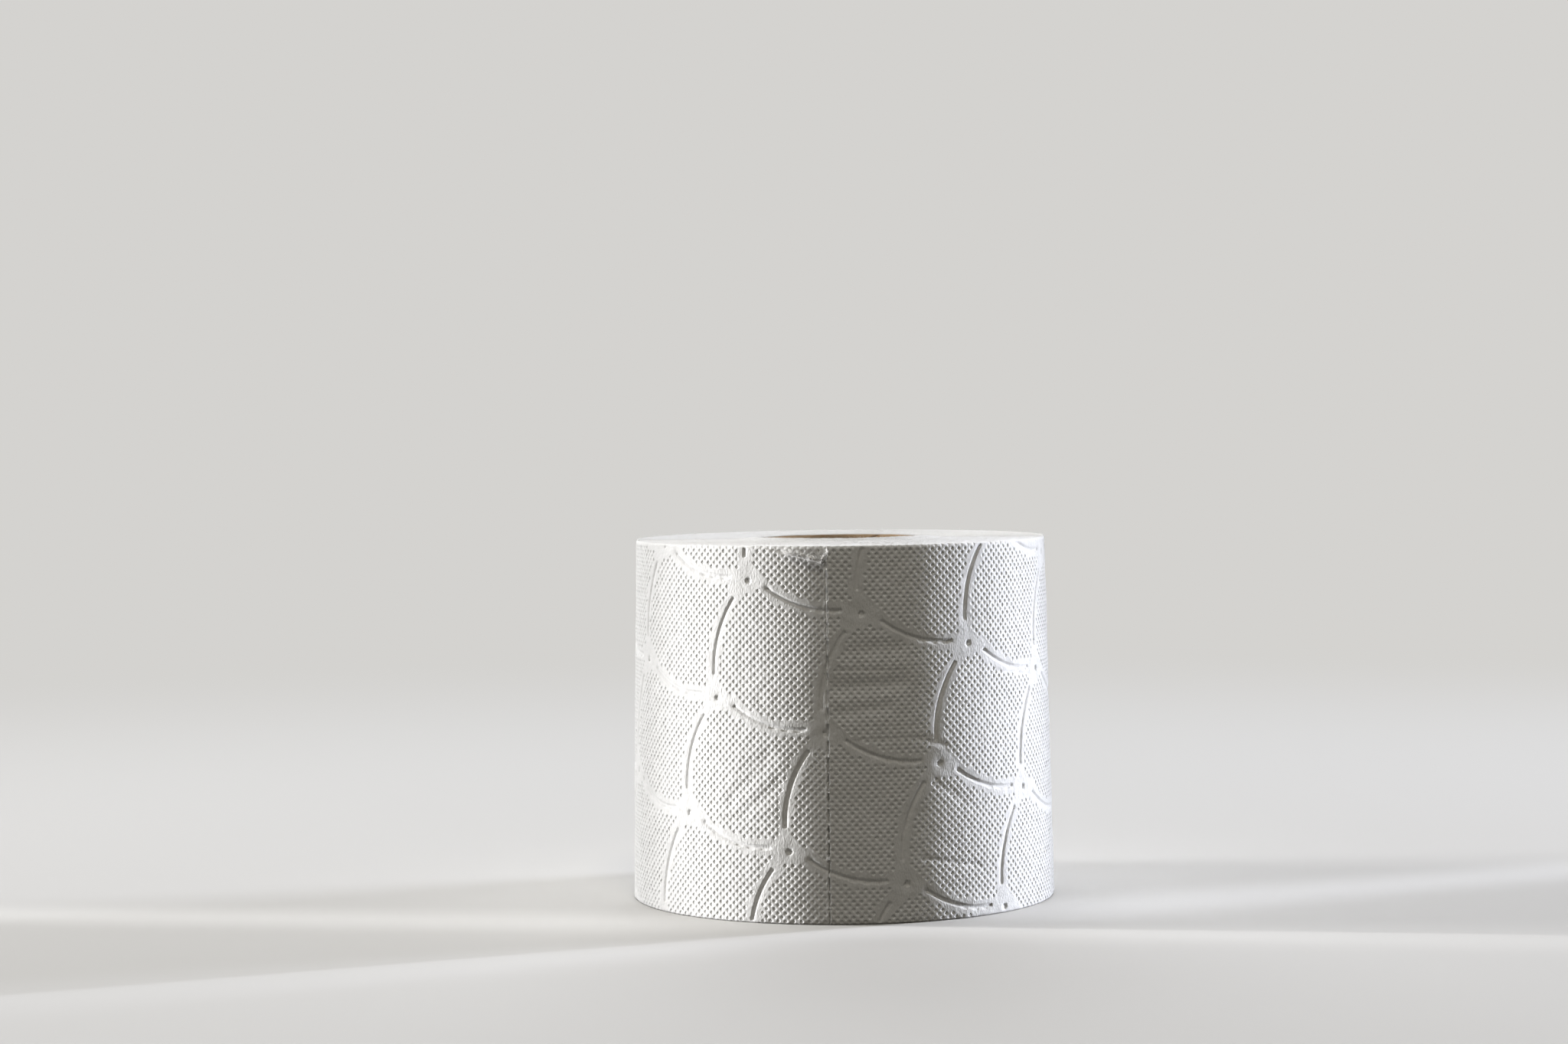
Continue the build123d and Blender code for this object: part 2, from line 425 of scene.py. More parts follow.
def dot_relief(g, along, up):
    """The fine dots at a place: offset from the nearest one, and that one's depth, 0 if left out.

    A dot is left out whole where its centre is near the lattice."""
    x = along - FIRST_DOT[0]
    y = up - FIRST_DOT[1]
    i = (x / DOT_PITCH + y / (2 * DOT_ROW)).rounded()
    j = (x / DOT_PITCH - y / (2 * DOT_ROW)).rounded()
    centre_x = (i + j) * (DOT_PITCH / 2)
    centre_y = (i - j) * DOT_ROW
    clear = 1.0
    for arc in (ACROSS_ARC, DOWN_ARC):
        distance = arc.measure(g, centre_x + FIRST_DOT[0], centre_y + FIRST_DOT[1])[0]
        clear = clear * (abs(distance) > PLAIN_BESIDE_ARC)
    to_node = from_nearest(centre_x + FIRST_DOT[0], centre_y + FIRST_DOT[1], (0, 0))
    clear = clear * (g.length(*to_node) > PLAIN_ROUND_NODE)
    place = {"Vector": g.vector(i, j, 0.0)}
    luck = g.node("ShaderNodeTexWhiteNoise", place, noise_dimensions="3D")
    return x - centre_x, y - centre_y, clear * (0.7 + luck * 0.5)


# Soft creases across the sheet: two ends, half width and depth
CREASES = [
    ((-2.0, 61.4), (16.0, 62.2), 2.2, 0.5),
    ((-1.0, 66.0), (16.0, 65.6), 0.45, 0.16),
    ((3.0, 47.6), (24.0, 48.2), 0.5, 0.14),
    ((0.0, 55.0), (12.0, 56.2), 1.8, 0.28),
    ((1.0, 71.0), (16.0, 71.6), 2.2, 0.26),
    ((-31.0, 31.0), (-19.5, 42.0), 1.9, 0.22),
    ((-27.0, 28.0), (-17.0, 36.5), 1.6, 0.18),
    ((-27.0, 39.5), (-20.0, 44.0), 1.5, 0.14),
    ((-33.0, 27.0), (-22.0, 26.0), 0.6, 0.18),
    ((20.0, 47.6), (28.0, 45.6), 0.7, 0.18),
    ((22.0, 16.4), (38.0, 13.5), 0.7, 0.2),
    ((42.0, 64.4), (62.0, 62.0), 0.6, 0.12),
    ((25.0, 36.0), (33.0, 31.0), 1.4, 0.14),
]


def crease_relief(g, along, up):
    depth = 0.0
    for start, stop, width, deep in CREASES:
        run = (stop[0] - start[0], stop[1] - start[1])
        length = math.hypot(*run)
        ahead = (run[0] / length, run[1] / length)
        x = along - start[0]
        y = up - start[1]
        past = (x * ahead[0] + y * ahead[1]).at_least(0.0).at_most(length)
        beside = g.length(x - past * ahead[0], y - past * ahead[1])
        depth = depth + beside.hump(width) * deep
    return depth


def side_radius(along, up):
    """Radius of the outer turn at a place; from the hidden start to the tail it grows by one turn."""
    wound = (along - HIDDEN) / CIRCUMFERENCE
    return BASE_RADIUS - FLARE / HEIGHT * up - TURN * (1.0 - wound)


def round_the_roll(g, along, radius, up):
    """A point in metres at an arc, a radius and a height in millimetres."""
    angle = along / MEAN_RADIUS
    return g.vector(radius * angle.sine() * MM, radius * angle.cosine() * -MM, up * MM)


def sheet_tree():
    """One sheet of the outer turn, from rim to rim, with its embossing, dots, creases and edges."""
    inputs = {"Start": 0.0, "Columns": SHEET_COLUMNS, "Tail lift": 0.0, "Torn": 0.0, "Material": None}
    g, wires = new_tree("outer_sheet", inputs)
    start = wires["Start"]
    width = wires["Columns"] * CELL_ALONG
    grid_sockets = {
        "Size X": width,
        "Size Y": ROWS * CELL_UP,
        "Vertices X": wires["Columns"] + 1,
        "Vertices Y": ROWS + 1,
    }
    grid = g.node("GeometryNodeMeshGrid", grid_sockets)
    bake_map = Wire(g, grid.socket.node.outputs["UV Map"])
    x, y, _ = g.parts(g.node("GeometryNodeInputPosition"))
    along = x + width / 2 + start
    level = y + ROWS * CELL_UP / 2 - OVERHANG

    move_x, move_y, lattice = lattice_relief(g, along, level)
    from_dot_x, from_dot_y, dot = dot_relief(g, along, level)
    from_dot = g.length(from_dot_x, from_dot_y)
    ring = (from_dot > CELL_UP / 2) * (from_dot < 1.6 * CELL_UP) * (dot > 0.0)
    spread = ring * (DOT_RADIUS * (0.72 + dot * 0.3) / from_dot.at_least(CELL_UP / 2) - 1.0)
    move_x = move_x + from_dot_x * spread
    move_y = move_y + from_dot_y * spread
    pits = (from_dot < CELL_UP / 2) * dot * DOT_DEPTH
    bulge = g.ease(from_dot, DOT_RADIUS, 2 * DOT_RADIUS) * (dot > 0.0) * DOT_BULGE
    creases = crease_relief(g, along, level)

    # The rim: the sheet rounds over at both ends and runs in over the neighbouring turns
    up = level.at_least(RIM_ROUND).at_most(HEIGHT - RIM_ROUND)
    past_rim = abs(level - up)
    bend = (past_rim / RIM_ROUND).at_most(math.pi / 2)
    inward = RIM_ROUND * (1.0 - bend.cosine()) + (past_rim - RIM_ROUND * math.pi / 2).at_least(0.0)
    dive = (past_rim - RIM_ROUND * math.pi / 2).at_least(0.0) * RIM_DIVE
    rise = g.math("SIGN", level - up) * (bend.sine() * RIM_ROUND - dive)
    on_side = past_rim < 0.01

    # Perforated borders: sunk slits a hair open between bonds, both sides of a line pulled up a little
    slit = g.math("PINGPONG", level - FIRST_SLIT, SLIT_PITCH / 2) < SLIT_LENGTH / 2
    first = (x + width / 2) < CELL_ALONG / 2
    last = (width / 2 - x) < CELL_ALONG / 2
    gape = (first - last) * slit * SLIT_GAPE
    brim = (first + last) * slit * (0.26 + g.ease(level, 10.0, 70.0) * 0.26)
    to_border = (x + width / 2).at_most(width / 2 - x)
    proud = g.noise(g.vector(level / 5.0, along / 40.0, 1.1), 1.0, 2.0)
    lifted = to_border.hump(0.5) * (0.04 + g.ease(proud, 0.42, 0.58) * 0.16)

    # The torn corner, one turn lower, with its wall along the tear
    length = math.hypot(*TEAR_RUN)
    upright = (-TEAR_RUN[1] / length, TEAR_RUN[0] / length)
    above = (along - TEAR_START[0]) * upright[0] + (level - TEAR_START[1]) * upright[1]
    hook = (TEAR_END[0] - TEAR_TIP[0], TEAR_END[1] - TEAR_TIP[1])
    hook_length = math.hypot(*hook)
    left_of_hook = (level - TEAR_TIP[1]) * (hook[0] / hook_length)
    left_of_hook = left_of_hook - (along - TEAR_TIP[0]) * (hook[1] / hook_length)
    inside = above.at_most(left_of_hook)
    torn = (inside > 0.0) * wires["Torn"]
    near_tear = (abs(above) < CELL_UP * 0.7) * (above < left_of_hook) * wires["Torn"] * on_side
    tear_step = near_tear * (torn * 0.1 - 0.05 - above)
    move_x = move_x + tear_step * upright[0]
    move_y = move_y + tear_step * upright[1]

    # The free tail stands off the turn beneath it
    to_tail = width / 2 - x
    waves = 0.35 * (level / 17.0).sine() * to_tail.hump(3.5)
    tail = wires["Tail lift"] * (to_tail.hump(7.0) + waves)

    swell = g.noise(g.vector(along / 21.0, level / 15.0, 0.3), 1.0, 1.0) - 0.5
    foot = g.ease(level, 3.0, 0.0) * (g.noise(g.vector(along / 4.0, 0.0, 0.7), 1.0, 2.0) - 0.5)
    pits = pits * (1.0 - torn * 0.3)
    sunk = (lattice + creases) * (1.0 - torn) + pits - bulge + brim
    sunk = sunk * on_side + TURN * torn
    moved_along = along + gape + move_x * on_side
    moved_up = up + rise + move_y * on_side
    radius = side_radius(moved_along, moved_up) - inward - sunk
    radius = radius + lifted + tail + swell * 0.5 + foot * 0.5
    point = round_the_roll(g, moved_along, radius, moved_up)
    marked = store(g, grid, "place", g.vector(along, level, sunk), "FLOAT_VECTOR")
    mapped = store(g, marked, "OFBake", g.scaled(bake_map, 0.98, 1.0, 1.0), "FLOAT2", "CORNER")
    shaped = g.node("GeometryNodeSetPosition", {"Geometry": mapped, "Position": point})
    cut = g.node("GeometryNodeTriangulate", {"Mesh": shaped}, quad_method="SHORTEST_DIAGONAL")
    finish_tree(g, cut, wires["Material"])
    return g.tree


def close_sheet(piece, columns):
    """Closes a sheet's back from rim to rim, and its two side borders."""
    bm = bmesh.new()
    bm.from_mesh(piece.data)
    bm.verts.ensure_lookup_table()
    bake = bm.loops.layers.uv["OFBake"]
    per_column = ROWS + 1

    def vertex(column, row):
        return bm.verts[column * per_column + row]

    faces = []
    for column in range(columns):
        low = (vertex(column, 0), vertex(column + 1, 0))
        high = (vertex(column + 1, ROWS), vertex(column, ROWS))
        faces.append(bm.faces.new((low[0], high[1], high[0], low[1])))
    faces.append(bm.faces.new([vertex(0, row) for row in range(per_column)]))
    faces.append(bm.faces.new([vertex(columns, row) for row in reversed(range(per_column))]))
    for face in faces:
        face.material_index = 0
        for corner in face.loops:
            corner[bake].uv = (0.99 + 0.008 * (corner.vert.co.z > HEIGHT * MM / 2), 0.5)
    bm.to_mesh(piece.data)
    bm.free()


def wound_tree():
    """The turns behind the outer sheets: a closed ring whose ends show every turn of the web."""
    g, wires = new_tree("wound_web", {**WOUND_TURNS, "Material": None})
    per_turn = 4
    rows = wires["Turns"] * per_turn
    grid_sockets = {
        "Size X": 1.0,
        "Size Y": rows * 2.0 + 2.0,
        "Vertices X": wires["Columns"] + 1,
        "Vertices Y": rows * 2.0 + 3.0,
    }
    grid = g.node("GeometryNodeMeshGrid", grid_sockets)
    x, y, _ = g.parts(g.node("GeometryNodeInputPosition"))
    wound = x + 0.5
    row = y + rows + 1.0
    # Rows run out over the foot, up the outer wall, in over the top and down the bore to the start
    at_top = row > rows + 0.5
    at_end = row > rows * 2.0 + 1.5
    from_core = row + at_top * (rows * 2.0 + 1.0 - 2.0 * row)
    turn = (from_core / per_turn + wound - 1.0).at_least(0.0)
    turn = turn * (1.0 - at_end)
    outer = BASE_RADIUS - SHELL + 0.15 - FLARE * at_top
    radius = CORE_RADIUS + turn * (outer - CORE_RADIUS) / wires["Turns"]
    ridge = g.math("PINGPONG", turn, 0.5) * 2.0
    sunk = (1.0 - ridge) * (turn > 0.01) * wires["Line depth"]
    angle = wound * (2 * math.pi)
    drift = g.vector(turn * 0.35, angle.cosine() * 1.2, angle.sine() * 1.2)
    uneven = g.noise(drift, 1.0, 3.0) - 0.5
    loose = g.noise(g.vector(turn * 0.9, angle.cosine() * 2.5, angle.sine() * 2.5), 1.0, 2.0) - 0.5
    free = (turn > 0.01) * (turn < wires["Turns"] - 0.99)
    worn = g.noise(g.vector(turn * 0.7, angle.cosine() * 14.0, angle.sine() * 14.0), 1.0, 1.0) - 0.5
    along = HIDDEN + wound * CIRCUMFERENCE
    in_front = g.ease((along / MEAN_RADIUS).cosine(), -0.7, 0.7)
    collar = turn.hump(COLLAR_TURNS) * (COLLAR + worn * 0.5) * in_front
    top = HEIGHT - sunk + uneven * 0.3 * free - 0.04 + collar
    foot = sunk + 0.02
    in_use = at_top * (1.0 - at_end)
    up = foot + in_use * (top - foot)
    slack = loose * 0.22 * free * g.ease(turn, 0.0, 3.0)
    point = round_the_roll(g, along, radius + slack, up)
    marked = store(g, grid, "place", g.vector(along, turn, sunk), "FLOAT_VECTOR", "CORNER")
    shaped = g.node("GeometryNodeSetPosition", {"Geometry": marked, "Position": point})
    welded = g.node("GeometryNodeMergeByDistance", {"Geometry": shaped, "Distance": 0.004 * MM})
    finish_tree(g, welded, wires["Material"])
    return g.tree


def fibre_tree():
    """Loose tissue fibres on the roll: thin bent hairs along a line, standing out at random."""
    inputs = {
        "Count": 100,
        "From": 0.0,
        "To": 1.0,
        "Up": HEIGHT,
        "Slope": 0.0,
        "Up spread": 0.3,
        "Lift": 0.0,
        "Lift spread": 0.3,
        "Length": 0.9,
        "Seed": SEED,
        "Material": None,
    }
    g, wires = new_tree("loose_fibres", inputs)
    index = g.node("GeometryNodeInputIndex")

    def luck(low, high, salt):
        sockets = {2: low, 3: high, 7: index, 8: wires["Seed"] + salt}
        return g.node("FunctionNodeRandomValue", sockets, out=1, data_type="FLOAT")

    along = luck(wires["From"], wires["To"], 1)
    up = wires["Up"] + (along - wires["From"]) * wires["Slope"]
    up = up + luck(-1.0, 1.0, 2) * wires["Up spread"]
    radius = side_radius(along, up) + wires["Lift"] + luck(-1.0, 1.0, 3) * wires["Lift spread"]
    place = round_the_roll(g, along, radius, up)
    points = g.node("GeometryNodePoints", {"Count": wires["Count"], "Position": place})
    cone = {"Vertices": 3, "Side Segments": 3, "Depth": 1.0}
    ends = {"Radius Top": 0.01, "Radius Bottom": 0.03}
    hair = g.node("GeometryNodeMeshCone", {**cone, **ends})
    x, y, z = g.parts(g.node("GeometryNodeInputPosition"))
    bent = g.vector(x + z.squared() * 0.4, y, z)
    hair = g.node("GeometryNodeSetPosition", {"Geometry": hair, "Position": bent})
    turn = g.vector(luck(-1.3, 1.3, 4), luck(-1.3, 1.3, 5), luck(0.0, 6.28, 6))
    size = wires["Length"] * luck(0.4, 1.0, 7) * MM
    scale = g.vector(size, size, size)
    sockets = {"Points": points, "Instance": hair, "Rotation": turn, "Scale": scale}
    hairs = g.node("GeometryNodeInstanceOnPoints", sockets)
    finish_tree(g, hairs, wires["Material"])
    return g.tree


def lip_tree():
    """The frayed lip along the tear: a strip that curls outwards, ragged and full of holes."""
    g, wires = new_tree("torn_lip", {**TORN_LIP, "Material": None})
    start = (LIP_START, TEAR_TIP[1] + (LIP_START - TEAR_TIP[0]) * TEAR_SLOPE)
    first_leg = math.dist(start, TEAR_TIP)
    second_leg = math.dist(TEAR_TIP, TEAR_END)
    counts = {"Vertices X": wires["Columns"], "Vertices Y": wires["Rows"]}
    grid = g.node("GeometryNodeMeshGrid", {"Size X": 1.0, "Size Y": 1.0, **counts})
    x, y, _ = g.parts(g.node("GeometryNodeInputPosition"))
    run = (x + 0.5) * (first_leg + second_leg)
    out = y + 0.5
    first = (run / first_leg).at_most(1.0)
    second = ((run - first_leg) / second_leg).at_least(0.0)
    hooked = g.ease(run, first_leg - 0.5, first_leg + 0.6)
    along = start[0] + first * (TEAR_TIP[0] - start[0]) + second * (TEAR_END[0] - TEAR_TIP[0])
    up = start[1] + first * (TEAR_TIP[1] - start[1]) + second * (TEAR_END[1] - TEAR_TIP[1])
    ragged = g.noise(g.vector(run * 1.4, out * 1.1, 2.0), 1.0, 2.0) - 0.5
    crumple = g.noise(g.vector(run * 3.0, out * 3.6, 5.0), 1.0, 2.0) - 0.5
    taper = g.ease(run, 0.0, 3.5)
    reach = (out * (wires["Width"] + ragged * 1.6) * (0.25 + taper * 0.75)) * (1.0 - hooked * 0.45)
    along = along - reach * (0.25 + hooked * 0.65) + crumple * 0.3
    up = up + reach * (1.0 - hooked * 0.6)
    ripple = g.noise(g.vector(run * 1.15, out * 1.1, 11.0), 1.0, 1.0) - 0.5
    fold = g.ease(out, 0.0, 0.2) * (0.3 + g.ease(run, 2.0, first_leg) * 0.6 + ripple * 1.6)
    arch = (out * math.pi * 0.85).sine() * wires["Curl"] * (1.0 + ragged * 1.2)
    lift = (fold + arch + crumple * 1.2 * g.ease(out, 0.0, 0.2)) * taper - 0.02
    point = round_the_roll(g, along, side_radius(along, up) + lift, up)
    shaped = g.node("GeometryNodeSetPosition", {"Geometry": grid, "Position": point})
    gaps = g.noise(g.vector(run * 2.0, out * 2.3, 9.0), 1.0, 2.0)
    holes = {"Geometry": shaped, "Selection": (gaps > 0.52) * (out > 0.2)}
    sheet = g.node("GeometryNodeDeleteGeometry", holes, domain="FACE")
    thick = {"Mesh": sheet, "Offset Scale": wires["Thickness"] * MM, "Individual": False}
    outer = g.node("GeometryNodeExtrudeMesh", thick)
    inner = g.node("GeometryNodeFlipFaces", {"Mesh": sheet})
    both = g.node("GeometryNodeJoinGeometry")
    for layer in (inner, outer):
        g.tree.links.new(layer.socket, both.socket.node.inputs[0])
    closed = g.node("GeometryNodeMergeByDistance", {"Geometry": both, "Distance": 0.001 * MM})
    finish_tree(g, closed, wires["Material"])
    return g.tree


# Materials


def new_material(name, roughness, sheen):
    """A Principled material; gives it, its graph and its shader node."""
    material = bpy.data.materials.new(name)
    material.use_nodes = True
    graph = Graph(material.node_tree)
    shader = next(n for n in material.node_tree.nodes if n.type == "BSDF_PRINCIPLED")
    shader.inputs["Roughness"].default_value = roughness
    shader.inputs["Specular IOR Level"].default_value = 0.25
    shader.inputs["Sheen Weight"].default_value = sheen
    return material, graph, shader


def feed(graph, shader, **wires):
    for name, wire in wires.items():
        graph.tree.links.new(wire.socket, shader.inputs[name.replace("_", " ")])


def attribute(g, name):
    return g.node("ShaderNodeAttribute", out=1, attribute_name=name)


def bumped(g, height):
    """The bump of a height in millimetres."""
    return g.node("ShaderNodeBump", {"Height": height, "Strength": 1.0, "Distance": MM})


def tissue_material():
    """Soft white tissue: crisp dots, a fine upright fibre grain and cloudy changes in thickness."""
    material, g, shader = new_material("embossed_tissue", 0.95, 0.12)
    place = attribute(g, "place")
    along, up, _ = g.parts(place)
    from_dot_x, from_dot_y, dot = dot_relief(g, along, up)
    pit = g.ease(g.length(from_dot_x, from_dot_y), 1.35 * DOT_RADIUS, 0.5 * DOT_RADIUS) * dot
    grain = g.noise(g.scaled(place, 2.7, 0.95, 0.0), 1.0, 3.0, 0.6)
    cloud = g.noise(g.scaled(place, 0.35, 0.3, 0.0), 1.0, 2.0)
    tone = cloud * 0.5 + grain * 0.5
    stops = [(0.3, (0.83, 0.825, 0.805)), (0.62, (0.905, 0.9, 0.885))]
    colour = g.node("ShaderNodeValToRGB", {"Fac": tone}, stops=stops)
    between = 1.0 - g.math("SIGN", dot) * 0.45
    height = grain * between * 0.2 + cloud * 0.3 - pit * 0.15
    feed(g, shader, Base_Color=colour, Normal=bumped(g, height))
    return material


def cut_edge_material():
    """The cut ends of the turns: soft wandering lines between them, some open and most closed; the open
    ones are sunk by the bump and darkened in the colour as painted shade.
    """
    material, g, shader = new_material("tissue_cut_ends", 0.95, 0.12)
    along, turn, _ = g.parts(attribute(g, "place"))
    wander = g.noise(g.vector(along * 0.35, turn * 0.45, 0.0), 1.0, 3.0) * 2.4
    phase = turn + wander
    to_line = g.math("PINGPONG", phase, 0.5) * 2.0
    line = {"Vector": g.vector(phase.rounded(), 0.0, 0.0)}
    openness = g.node("ShaderNodeTexWhiteNoise", line, noise_dimensions="3D")
    patches = g.noise(g.vector(along * 0.09, turn * 0.3, 3.0), 1.0, 2.0)
    gap_depth_and_shade = g.ease(to_line, 0.55, 0.0) * (openness.squared() * 0.8 + 0.2) * g.ease(patches, 0.3, 0.65)
    gap_depth_and_shade = gap_depth_and_shade * g.ease(turn, 0.2, 1.2)
    fuzz = g.noise(g.node("ShaderNodeTexCoord", out="Object"), 3200.0, 3.0, 0.65)
    cloud = g.noise(g.node("ShaderNodeTexCoord", out="Object"), 140.0, 2.0)
    # The tone is darker along the open gaps between the turns: painted shade in those recesses, beside
    # the bump that sinks them.
    tone = fuzz * 0.5 + cloud * 0.4 + 0.1 - gap_depth_and_shade * 0.4
    stops = [(0.1, (0.74, 0.735, 0.71)), (0.5, (0.91, 0.905, 0.89))]
    colour = g.node("ShaderNodeValToRGB", {"Fac": tone}, stops=stops)
    height = fuzz * 0.3 + cloud * 0.35 - gap_depth_and_shade * 0.14
    feed(g, shader, Base_Color=colour, Normal=bumped(g, height))
    return material


def fibre_material():
    """Single fibres and torn plies, thin enough for light to come through."""
    material, g, shader = new_material("loose_tissue_fibres", 0.9, 0.2)
    shader.inputs["Subsurface Weight"].default_value = 0.4
    shader.inputs["Subsurface Radius"].default_value = (1.0, 1.0, 1.0)
    shader.inputs["Subsurface Scale"].default_value = 1.2 * MM
    tint = g.noise(g.node("ShaderNodeTexCoord", out="Object"), 900.0, 1.0)
    stops = [(0.35, (0.93, 0.915, 0.885)), (0.65, (0.96, 0.955, 0.945))]
    feed(g, shader, Base_Color=g.node("ShaderNodeValToRGB", {"Fac": tint}, stops=stops))
    return material


def card_material():
    """Grey-brown recycled card: fibre flecks along its winding, and the seam of the last strip."""
    material, g, shader = new_material("core_card", 0.85, 0.0)
    around, up, end = g.parts(attribute(g, "place"))
    lean = CARD_STRIP / (2 * math.pi * CORE_BORE_RADIUS)
    wound = g.vector(around + up * lean, up - around * lean, 0.0)
    flecks = g.noise(g.scaled(wound, 0.7, 3.0, 0.0), 1.0, 4.0, 0.7)
    cloud = g.noise(g.scaled(wound, 0.05, 0.3, 0.0), 1.0, 2.0)
    seam = g.math("PINGPONG", up + around * lean, CARD_STRIP / 2)
    crack = seam.hump(0.35)
    tone = flecks * 0.65 + cloud * 0.3 + 0.03 - crack * 0.35 + end * 0.12
    stops = [(0.22, (0.17, 0.105, 0.052)), (0.5, (0.34, 0.225, 0.125)), (0.78, (0.5, 0.37, 0.235))]
    colour = g.node("ShaderNodeValToRGB", {"Fac": tone}, stops=stops)
    height = flecks * 0.12 - crack * 0.15 + g.ease(seam, 6.0, 0.0) * 0.1
    feed(g, shader, Base_Color=colour, Normal=bumped(g, height))
    return material


# Pieces


def belongs(piece, node):
    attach(piece, "root")
    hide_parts(node)


def make_sheets(tissue):
    """The outer turn, sheet by sheet from the tail back to where the web passes under it."""
    tree = sheet_tree()
    back = FRONT_PERFORATION - 2 * SHEET_LENGTH
    tucked = math.ceil((back - (HIDDEN - TUCK)) / CELL_ALONG)
    sheets = [
        ("sheet_tail", FRONT_PERFORATION, SHEET_COLUMNS, 0.45, 0.0),
        ("sheet_torn", FRONT_PERFORATION - SHEET_LENGTH, SHEET_COLUMNS, 0.0, 1.0),
        ("sheet_back", back, SHEET_COLUMNS, 0.0, 0.0),
        ("sheet_tucked", back - tucked * CELL_ALONG, tucked, 0.0, 0.0),
    ]
    for name, start, columns, lift, torn in sheets:
        settings = {"Start": start, "Columns": columns, "Tail lift": lift, "Torn": torn}
        sheet = grown(name, tree, {**settings, "Material": tissue})
        close_sheet(sheet, columns)
        belongs(sheet, "paper_roll")


def make_wound_turns(cut_edge):
    ring = grown("wound_turns", wound_tree(), {**WOUND_TURNS, "Material": cut_edge})
    bm = bmesh.new()
    bm.from_mesh(ring.data)
    bmesh.ops.holes_fill(bm, edges=[edge for edge in bm.edges if edge.is_boundary])
    bm.to_mesh(ring.data)
    bm.free()
    belongs(ring, "paper_roll")


def make_core(card):
    """The card tube: a closed sleeve with soft cut ends, dented a little along its edge."""
    bm = bmesh.new()
    place = bm.loops.layers.float_vector.new("place")
    middle = (CORE_BORE_RADIUS + CORE_RADIUS) / 2
    walls = [(CORE_BORE_RADIUS, k / CORE_LEVELS) for k in range(CORE_LEVELS + 1)]
    walls.append((middle, 1.0))
    walls += [(CORE_RADIUS - 0.02, 1 - k / CORE_LEVELS) for k in range(CORE_LEVELS + 1)]
    walls.append((middle, 0.0))
    rings = []
    for wall_radius, level in walls:
        ring = []
        for c in range(CORE_COLUMNS):
            angle = 2 * math.pi * c / CORE_COLUMNS
            x, y = math.sin(angle), math.cos(angle)
            worn = noise.noise(Vector((x * 4, y * 4, level * 9 + SEED)))
            up = level * (HEIGHT - CORE_SETBACK) + 0.05 + worn * 0.15 * (level - 0.2)
            radius = wall_radius + worn * 0.08 * (wall_radius < CORE_RADIUS - 0.1)
            ring.append(bm.verts.new((radius * x * MM, -radius * y * MM, up * MM)))
        rings.append(ring)
    for k in range(len(rings)):
        j = (k + 1) % len(rings)
        near, far = rings[k], rings[j]
        for c in range(CORE_COLUMNS):
            d = (c + 1) % CORE_COLUMNS
            face = bm.faces.new((near[c], far[c], far[d], near[d]))
            for corner, column, row in zip(face.loops, (c, c, c + 1, c + 1), (k, j, j, k)):
                level = walls[row][1]
                end = 1.0 if level in (0.0, 1.0) else 0.0
                around = 2 * math.pi * column / CORE_COLUMNS * CORE_BORE_RADIUS
                corner[place] = (around, level * HEIGHT, end)
    bmesh.ops.recalc_face_normals(bm, faces=bm.faces)
    for face in bm.faces:
        face.smooth = True
    mesh = bpy.data.meshes.new("core_sleeve")
    bm.to_mesh(mesh)
    bm.free()
    mesh.materials.append(card)
    sleeve = bpy.data.objects.new("core_sleeve", mesh)
    bpy.context.scene.collection.objects.link(sleeve)
    belongs(sleeve, "core_tube")


def make_fibres(material):
    """Fuzz on the rims, along the core's edge and along the tear."""
    tree = fibre_tree()
    at_core = CORE_RADIUS - BASE_RADIUS + FLARE
    slope = TEAR_SLOPE
    at_lip = TEAR_TIP[1] + (LIP_START - TEAR_TIP[0]) * slope
    border = TEAR_END[0]
    groups = [
        ("fuzz_upper_rim", 1500, HIDDEN, TAIL, HEIGHT - 0.35, 0.0, 0.35, -0.3, 0.35, 0.8),
        ("fuzz_lower_rim", 500, HIDDEN, TAIL, 0.6, 0.0, 0.3, -0.15, 0.2, 0.6),
        ("fuzz_core_near", 420, -62.0, 62.0, HEIGHT + COLLAR * 0.85, 0.0, 0.1, at_core, 0.2, 0.6),
        ("fuzz_core_far", 400, 100.0, CIRCUMFERENCE - 100.0, HEIGHT, 0.0, 0.1, at_core, 0.2, 0.6),
        ("fuzz_tear", 900, LIP_START, TEAR_TIP[0], at_lip + 0.65, slope, 0.7, 0.75, 0.5, 0.8),
        ("fuzz_tear_edge", 420, LIP_START, TEAR_TIP[0], at_lip + 0.1, slope, 0.14, 0.4, 0.3, 0.6),
        ("fuzz_tear_hook", 160, TEAR_TIP[0] - 0.4, border, 94.2, 1.4, 0.6, 0.6, 0.4, 0.7),
        ("fuzz_torn_border", 20, border - 0.1, border + 0.35, 96.6, 0.0, 1.5, 0.15, 0.15, 0.7),
    ]
    names = ("Count", "From", "To", "Up", "Slope", "Up spread", "Lift", "Lift spread", "Length")
    for name, *values in groups:
        settings = dict(zip(names, values), Seed=SEED, Material=material)
        belongs(grown(name, tree, settings), "paper_roll")


def make_torn_lip(material):
    lip = grown("torn_lip", lip_tree(), {**TORN_LIP, "Material": material})
    belongs(lip, "paper_roll")


# Stage, light and camera


def camera_sees(g):
    """1 for the rays that show a backdrop, to the camera, in gloss or through glass."""
    rays = g.node("ShaderNodeLightPath").socket.node.outputs
    seen = Wire(g, rays["Is Camera Ray"]).at_least(Wire(g, rays["Is Glossy Ray"]))
    return seen.at_least(Wire(g, rays["Is Transmission Ray"]))


def mixed(g, factor, one, other):
    """A colour between two colours."""
    sockets = {0: factor, 6: (*one, 1), 7: (*other, 1)}
    return g.node("ShaderNodeMix", sockets, out=2, data_type="RGBA")


